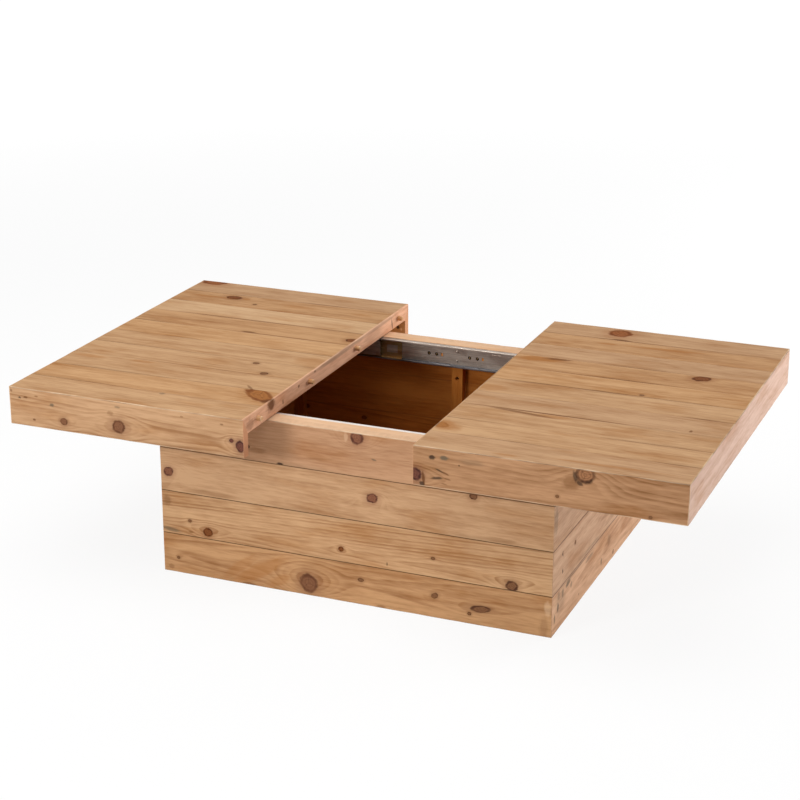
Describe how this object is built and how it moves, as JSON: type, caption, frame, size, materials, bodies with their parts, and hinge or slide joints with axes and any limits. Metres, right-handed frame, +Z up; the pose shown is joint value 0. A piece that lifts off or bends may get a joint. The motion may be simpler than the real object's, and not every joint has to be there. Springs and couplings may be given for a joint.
{
  "type": "sliding top coffee table",
  "caption": "Low pine coffee table on a plank box base, its top divided into halves that slide apart on ball-bearing slides to open a storage well.",
  "frame": {"origin": "on the floor under the middle of the base, top open", "axes": "+X along the travel of the halves towards the right half, +Y to the back, +Z up"},
  "size_m": [1.334, 0.8, 0.38],
  "materials": {
    "pine": "waxed, knotty, satin",
    "raw_pine": "planed, unfinished",
    "plywood": "sanded",
    "beech": "turned, unfinished",
    "zinc_steel": "rolled sheet, zinc plated",
    "cage_steel": "stamped sheet and polished balls",
    "screw_steel": "passivated zinc"
  },
  "bodies": {
    "base": {"front_plank_1": "pine", "front_plank_2": "pine", "front_plank_3": "pine", "back_plank_1": "pine", "back_plank_2": "pine", "back_plank_3": "pine", "left_plank_1": "pine", "left_plank_2": "pine", "left_plank_3": "pine", "right_plank_1": "pine", "right_plank_2": "pine", "right_plank_3": "pine", "front_rail": "pine", "front_slide_rail": "raw_pine", "front_channel": "zinc_steel", "back_rail": "pine", "back_slide_rail": "raw_pine", "back_channel": "zinc_steel", "left_end_rail": "pine", "right_end_rail": "pine", "centre_battens": "raw_pine", "corner_posts": "raw_pine", "bottom_panel": "plywood", "base_screws": "screw_steel"},
    "left_half": {"left_board_1": "pine", "left_board_2": "pine", "left_board_3": "pine", "left_board_4": "pine", "left_board_5": "pine", "left_board_6": "pine", "left_board_7": "pine", "left_board_8": "pine", "left_board_9": "pine", "left_board_10": "pine", "left_front_apron": "pine", "left_back_apron": "pine", "left_end_apron": "pine", "left_cleats": "raw_pine", "left_runners": "zinc_steel", "left_screws": "screw_steel", "alignment_dowels": "beech"},
    "right_half": {"right_board_1": "pine", "right_board_2": "pine", "right_board_3": "pine", "right_board_4": "pine", "right_board_5": "pine", "right_board_6": "pine", "right_board_7": "pine", "right_board_8": "pine", "right_board_9": "pine", "right_board_10": "pine", "right_front_apron": "pine", "right_back_apron": "pine", "right_end_apron": "pine", "right_cleats": "raw_pine", "right_runners": "zinc_steel", "right_screws": "screw_steel"},
    "left_cages": {"left_ball_cages": "cage_steel"},
    "right_cages": {"right_ball_cages": "cage_steel"}
  },
  "joints": [
    {"name": "left_slide", "type": "slide", "parent": "base", "child": "left_half", "axis": [1, 0, 0], "range_m": [0, 0.1667]},
    {"name": "right_slide", "type": "slide", "parent": "base", "child": "right_half", "axis": [-1, 0, 0], "range_m": [0, 0.1667]},
    {"name": "left_cage_slide", "type": "slide", "parent": "base", "child": "left_cages", "axis": [1, 0, 0], "range_m": [0, 0.08335]},
    {"name": "right_cage_slide", "type": "slide", "parent": "base", "child": "right_cages", "axis": [-1, 0, 0], "range_m": [0, 0.08335]}
  ],
  "couplings": [
    {"joint": "left_cage_slide", "follows": "left_slide", "ratio": 0.5},
    {"joint": "right_cage_slide", "follows": "right_slide", "ratio": 0.5}
  ]
}
